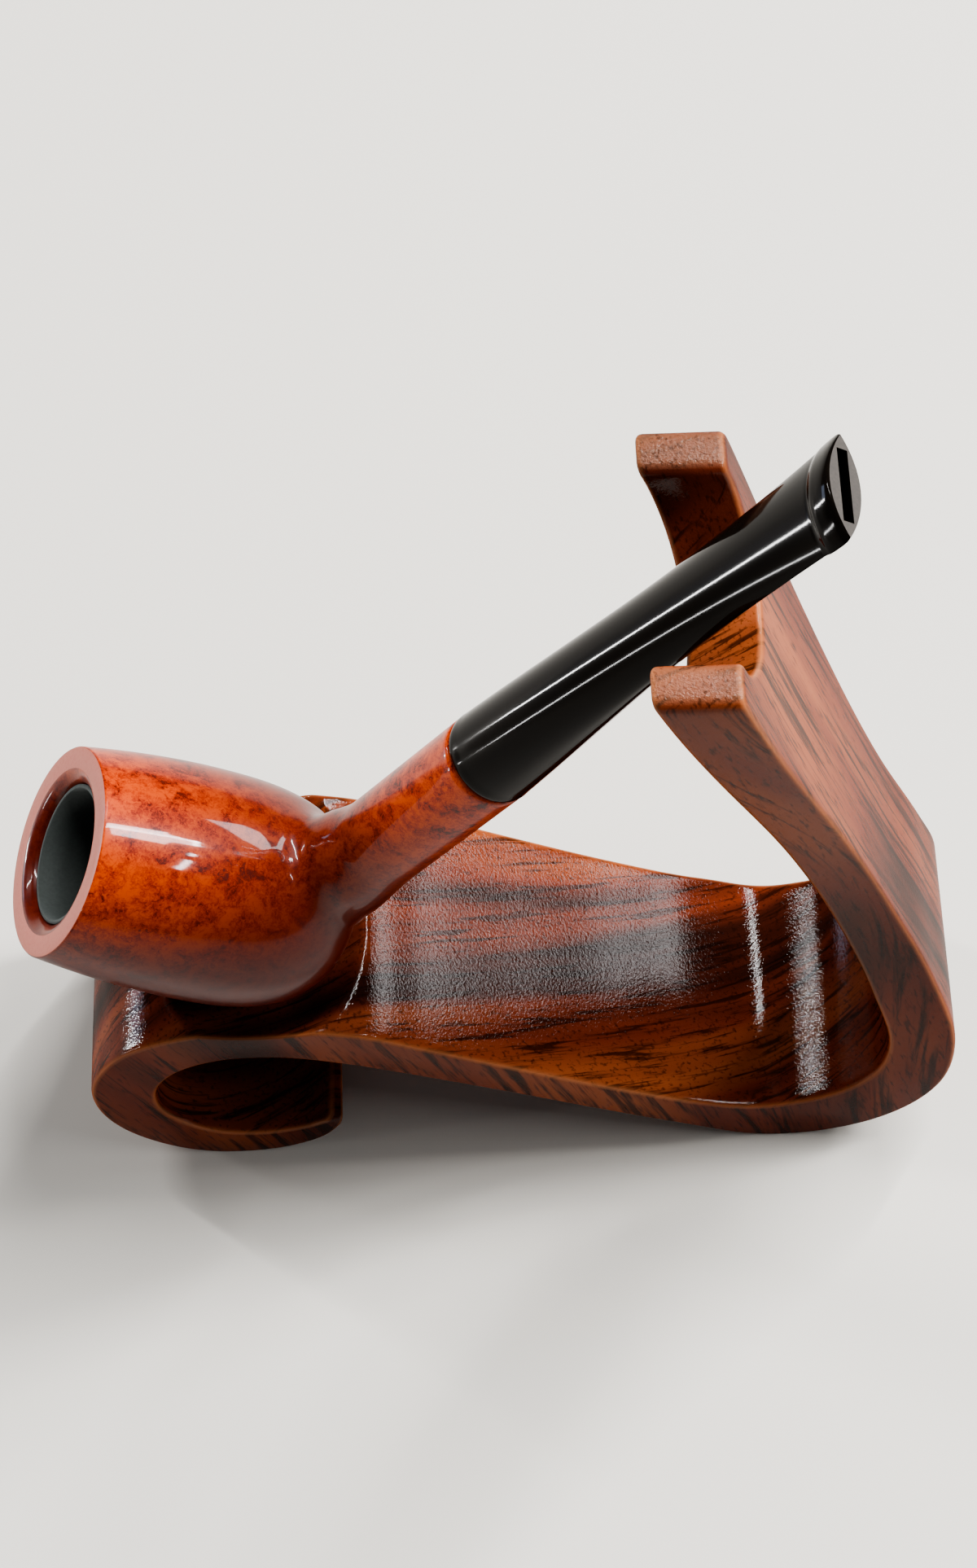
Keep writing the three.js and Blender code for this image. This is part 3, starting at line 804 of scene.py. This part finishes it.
# The carver's fillet where the shank leaves the bowl: points near the crease are evened out.
def easeCrease(obj, v):
    mesh = bmesh.new()
    mesh.from_mesh(obj.data)
    bmesh.ops.remove_doubles(mesh, verts=mesh.verts, dist=2e-5)
    mesh.verts.ensure_lookup_table()

    def outside(co):
        x, y, z = co / mm
        return math.hypot(y, z) > v["shankRadius"] * 0.8 or math.hypot(x, y) > v["chamberRadius"] + 2

    crease = []
    for edge in mesh.edges:
        if len(edge.link_faces) == 2 and edge.calc_face_angle() > 0.3:
            middle = (edge.verts[0].co + edge.verts[1].co) / 2
            x, y, z = middle / mm
            if 8 < x < 24 and -12 < z < 16 and outside(middle) and math.hypot(x, y) > 12:
                crease.append(middle)
    tree = kdtree.KDTree(max(len(crease), 1))
    for i, point in enumerate(crease):
        tree.insert(point, i)
    tree.balance()
    near = {}
    for vert in mesh.verts:
        x, y, z = vert.co / mm
        if crease and math.hypot(y, z) > v["draught"] + 2 and math.hypot(x, y) > v["chamberRadius"] + 1.2:
            away = tree.find(vert.co)[2]
            if away < v["blend"] * mm:
                near[vert] = 1 - smoothstep(away / mm, v["blend"] * 0.35, v["blend"])
    print("crease", len(crease), "edges, eased", len(near), "points")
    for _ in range(40):
        moves = {}
        for vert, weight in near.items():
            around = [e.other_vert(vert).co for e in vert.link_edges]
            moves[vert] = vert.co.lerp(sum(around, Vector()) / len(around), 0.5 * weight)
        for vert, co in moves.items():
            vert.co = co
    mesh.to_mesh(obj.data)
    mesh.free()


makeStummel(stummel, polishedBriar(briar), sandedBriar(briar))


coat = {
    "gap": 0.3, "thick": 0.6,
    "colour": "#2b2f2d", "speck": "#3d4340",
    "grain": 0.6 * mm, "relief": 0.08 * mm,
}


def carbonCoat(values):
    # dry and matt, so the chamber drinks the light and only its grit shows
    material, tree = newMaterial("bowl coating of charcoal, brushed on and dry")
    where = addNode(tree, "ShaderNodeTexCoord").outputs["Object"]
    grit = addNode(tree, "ShaderNodeTexNoise", {}, {
        "Vector": where, "Scale": 1 / values["grain"], "Detail": 3.0, "Roughness": 0.7})
    tone = addNode(tree, "ShaderNodeMix", {"data_type": "RGBA"}, {
        "Factor": grit.outputs["Fac"], "A": srgb(values["colour"]), "B": srgb(values["speck"])})
    bump = addNode(tree, "ShaderNodeBump", {}, {
        "Height": grit.outputs["Fac"], "Strength": 0.5, "Distance": values["relief"]})
    surface = addNode(tree, "ShaderNodeBsdfPrincipled", {}, {
        "Base Color": tone.outputs["Result"], "Roughness": 0.86, "Normal": bump.outputs[0]})
    addNode(tree, "ShaderNodeOutputMaterial", {}, {"Surface": surface.outputs[0]})
    return material


def makeCoating(v, values, material):
    top = v["rimHeight"] - v["bevel"] - values["gap"]
    rings = []
    for inset, down in ((values["gap"], False), (values["gap"] + values["thick"], True)):
        radius = v["chamberRadius"] - inset
        floor = v["chamberFloor"] + inset
        cup = radius * v["chamberRound"]
        turns = [i / 14 * math.pi / 2 for i in range(15)]
        side = [(radius * math.sin(t), floor + cup * (1 - math.cos(t))) for t in turns]
        side += [(radius, floor + cup + (top - floor - cup) * i / 8) for i in range(1, 9)]
        rings += side[::-1] if down else side
    obj = finished(turned([(r * mm, z * mm) for r, z in rings], 96), "charcoalCoating")
    combined(obj, rod(v["draught"], 0.5, v["chamberRadius"] + 4), "DIFFERENCE")
    obj.data.transform(place)
    obj.data.materials.clear()
    obj.data.materials.append(material)
    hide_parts("chamber_coating")
    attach(obj, "bowl")
    print("coating:", len(obj.data.polygons), "faces")


makeCoating(stummel, coat, carbonCoat(coat))


stem = {
    "start": 55.6, "length": 80, "tenon": 14, "tenonRadius": 4.1, "airway": 1.3,
    "slotWidth": 10.4, "slotHeight": 1.6, "slotDepth": 9,
    "stations": [               # share of the length, half width, half thickness, how lens-shaped
        (0, 6.75, 6.75, 0), (0.004, 7, 7, 0), (0.03, 7, 6.92, 0), (0.12, 6.9, 6.4, 0),
        (0.3, 6.6, 5.25, 0.05),
        (0.5, 6.4, 3.95, 0.2), (0.7, 6.6, 2.85, 0.45), (0.86, 7.05, 2.25, 0.7), (0.93, 7.3, 2.1, 0.8),
        (0.94, 7.35, 2.1, 0.8), (0.946, 7.45, 2.35, 0.82), (0.953, 7.6, 2.7, 0.84), (0.97, 7.7, 2.8, 0.87),
        (0.988, 7.7, 2.75, 0.9), (0.996, 7.55, 2.6, 0.9), (1, 7.3, 2.35, 0.9)],
}

ebonite = {
    "black": "#060505",
    "brown": "#120d08",     # sulphur brown that comes up through polished ebonite
    "cut": "#3a332d",       # fresh dull cut at the end of the bit
    "streak": 2.5 * mm,
    "rub": 0.4 * mm,
}


def polishedEbonite(values):
    # hard rubber, black with a breath of brown, with thin sharp highlights along it
    material, tree = newMaterial("ebonite filed to shape and buffed")
    where = addNode(tree, "ShaderNodeTexCoord").outputs["Object"]
    along = addNode(tree, "ShaderNodeMapping", {"vector_type": "TEXTURE"}, {
        "Vector": where, "Rotation": (0, math.radians(-57.5), 0), "Scale": (12.0, 1.0, 1.0)})
    cloud = addNode(tree, "ShaderNodeTexNoise", {}, {
        "Vector": along.outputs[0], "Scale": 1 / values["streak"], "Detail": 2.0, "Roughness": 0.5})
    tone = addNode(tree, "ShaderNodeMix", {"data_type": "RGBA"}, {
        "Factor": cloud.outputs["Fac"], "A": srgb(values["black"]), "B": srgb(values["brown"])})
    surface = addNode(tree, "ShaderNodeBsdfPrincipled", {}, {
        "Base Color": tone.outputs["Result"], "Roughness": 0.09, "IOR": 1.5,
        "Specular IOR Level": 0.1})
    addNode(tree, "ShaderNodeOutputMaterial", {}, {"Surface": surface.outputs[0]})
    return material


def dulledEbonite(values):
    # satin grey-brown, so the bit's end reads apart from its glossy sides
    material, tree = newMaterial("ebonite cut square and rubbed dull")
    where = addNode(tree, "ShaderNodeTexCoord").outputs["Object"]
    rub = addNode(tree, "ShaderNodeTexNoise", {}, {
        "Vector": where, "Scale": 1 / values["rub"], "Detail": 3.0, "Roughness": 0.6})
    tone = addNode(tree, "ShaderNodeMix", {"data_type": "RGBA"}, {
        "Factor": rub.outputs["Fac"], "A": srgb(values["brown"]), "B": srgb(values["cut"])})
    surface = addNode(tree, "ShaderNodeBsdfPrincipled", {}, {
        "Base Color": tone.outputs["Result"], "Roughness": 0.45, "Specular IOR Level": 0.3})
    addNode(tree, "ShaderNodeOutputMaterial", {}, {"Surface": surface.outputs[0]})
    return material


def stemSections(v, count):
    # the share is stretched to millimetres so that the spline sees real distances
    stations = [(s * v["length"], w, t, l) for s, w, t, l in v["stations"]]
    line = smoothLine([Vector((x, w, t, l)) for x, w, t, l in stations], 12, 2)
    sections = []
    for x, w, t, l in line:
        section = []
        for k in range(count):
            turn = math.tau * k / count
            up = math.sin(turn)
            section.append(Vector((v["start"] + x, w * math.cos(turn), t * up * abs(up) ** max(l, 0))) * mm)
        sections.append(section)
    return sections


def slotTool(v):
    end = v["start"] + v["length"]
    wide = v["slotWidth"] / 2
    high = v["slotHeight"] / 2
    deep = end - v["slotDepth"]
    throat = v["airway"] * 0.8
    outline = [(end + 2, -wide), (end + 2, wide), (end - 2, wide),
               (deep, throat), (deep, -throat), (end - 2, -wide)]
    mesh = bmesh.new()
    top, bottom = [[mesh.verts.new(Vector((x, y, z)) * mm) for x, y in outline] for z in (high, -high)]
    mesh.faces.new(top)
    mesh.faces.new(bottom[::-1])
    for i in range(6):
        j = (i + 1) % 6
        mesh.faces.new((top[j], top[i], bottom[i], bottom[j]))
    return finished(mesh, "slot")


def makeStem(v, material, endMaterial):
    obj = finished(lofted(stemSections(v, 112)), "eboniteStem")
    tenonEnd = v["start"] - v["tenon"]
    slotEnd = v["start"] + v["length"] - v["slotDepth"]
    combined(obj, rod(v["tenonRadius"], tenonEnd, v["start"] + 3, 48), "UNION")
    combined(obj, rod(v["airway"], tenonEnd - 2, slotEnd + 1), "DIFFERENCE")
    combined(obj, slotTool(v), "DIFFERENCE")
    obj.data.materials.clear()
    obj.data.materials.append(material)
    obj.data.materials.append(endMaterial)
    for face in obj.data.polygons:
        atEnd = face.center.x > (v["start"] + v["length"] - 0.1) * mm and face.normal.x > 0.8
        face.material_index = 1 if atEnd else 0
    obj.data.transform(place)
    obj.data.set_sharp_from_angle(angle=math.radians(50))
    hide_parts("stem")
    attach(obj, "mouthpiece")
    print("stem:", len(obj.data.polygons), "faces")


makeStem(stem, polishedEbonite(ebonite), dulledEbonite(ebonite))


studio = {
    "floor": "#bdb9b2",
    "floorHalf": 3,
    "world": "#dfe4ea",
    "worldStrength": 0.17,
    "place": (-0.0048, -0.2027, 0.4857),
    "turns": (1.14, 62.83, -0.79),  # degrees: yaw, pitch down, roll
    "lens": 71.18,
    "look": "AgX - Medium High Contrast",
    "lights": [                 # name, place, size, watts, what it looks at, and a colour if not white
        ("strip over the back, right", (1.05, 0.3, 1.2), (0.12, 0.9), 28, (0, 0, 0.06)),
        ("strip over the back", (0.36, 0.5, 1.25), (0.045, 1.0), 26, (0, 0, 0.06)),
        ("strip over the back, left", (-0.86, 0.6, 1.15), (0.022, 0.7), 10, (0, 0, 0.06)),
        ("soft box over the bowl", (1.05, 0.16, 1.2), (0.24, 0.34), 14, (0, 0, 0.06)),
        ("thin strip over the bowl", (1.25, -0.12, 1.2), (0.9, 0.03), 10, (0, 0, 0.06)),
        ("upright strip at the left", (-0.69, 0.2, 0.09), (0.012, 0.17), 2.2, (0, 0, 0.13)),
        ("thin upright strip at the left", (-0.72, -0.12, 0.09), (0.01, 0.17), 0.9, (0, 0, 0.1)),
        ("soft panel at the left", (-1.15, 0.5, 0.16), (0.3, 0.2), 1.6, (0, 0, 0.04), "#cfe0ff"),
        ("soft panel at the right", (1.28, 0.7, 0.77), (0.6, 0.2), 9, (0, 0, 0.06)),
    ],
}


def makeFloor(values):
    # smooth matt paper: soft shadows and no shine
    material, tree = newMaterial("matt pale paper")
    surface = addNode(tree, "ShaderNodeBsdfPrincipled", {}, {
        "Base Color": srgb(values["floor"]), "Roughness": 0.75})
    addNode(tree, "ShaderNodeOutputMaterial", {}, {"Surface": surface.outputs[0]})
    mesh = bpy.data.meshes.new("floor")
    half = values["floorHalf"]
    corners = [(-half, -half, 0), (half, -half, 0), (half, half, 0), (-half, half, 0)]
    mesh.from_pydata(corners, [], [(0, 1, 2, 3)])
    mesh.materials.append(material)
    newObject("floor", mesh)


def addLight(name, place, size, power, target=(0, 0, 0.06), colour="#ffffff"):
    light = bpy.data.lights.new(name, "AREA")
    light.shape = "RECTANGLE"
    light.size, light.size_y = size
    light.energy = power
    light.color = srgb(colour)[:3]
    lamp = bpy.data.objects.new(name, light)
    bpy.context.scene.collection.objects.link(lamp)
    toward = Vector(target) - Vector(place)
    lamp.matrix_world = Matrix.Translation(place) @ toward.to_track_quat("-Z", "Y").to_matrix().to_4x4()


makeFloor(studio)
world = bpy.data.worlds.new("studio")
world.use_nodes = True
world.node_tree.nodes.clear()
sky = addNode(world.node_tree, "ShaderNodeBackground", {}, {
    "Color": srgb(studio["world"]), "Strength": studio["worldStrength"]})
addNode(world.node_tree, "ShaderNodeOutputWorld", {}, {"Surface": sky.outputs[0]})
bpy.context.scene.world = world
for light in studio["lights"]:
    addLight(*light)
bpy.context.scene.view_settings.look = studio["look"]
print("floor, world and", len(studio["lights"]), "lights")


def addCamera(values):
    camera = bpy.data.cameras.new("camera")
    camera.sensor_width = 36
    camera.lens = values["lens"]
    obj = bpy.data.objects.new("camera", camera)
    yaw, pitch, roll = (math.radians(a) for a in values["turns"])
    look = Vector((math.sin(yaw) * math.cos(pitch), math.cos(yaw) * math.cos(pitch), -math.sin(pitch)))
    right = Vector((math.cos(yaw), -math.sin(yaw), 0))
    up = right.cross(look)
    x = right * math.cos(roll) + up * math.sin(roll)
    y = up * math.cos(roll) - right * math.sin(roll)
    turn = Matrix((x, y, -look)).transposed().to_4x4()
    obj.matrix_world = Matrix.Translation(values["place"]) @ turn
    bpy.context.scene.collection.objects.link(obj)
    bpy.context.scene.camera = obj


addCamera(studio)
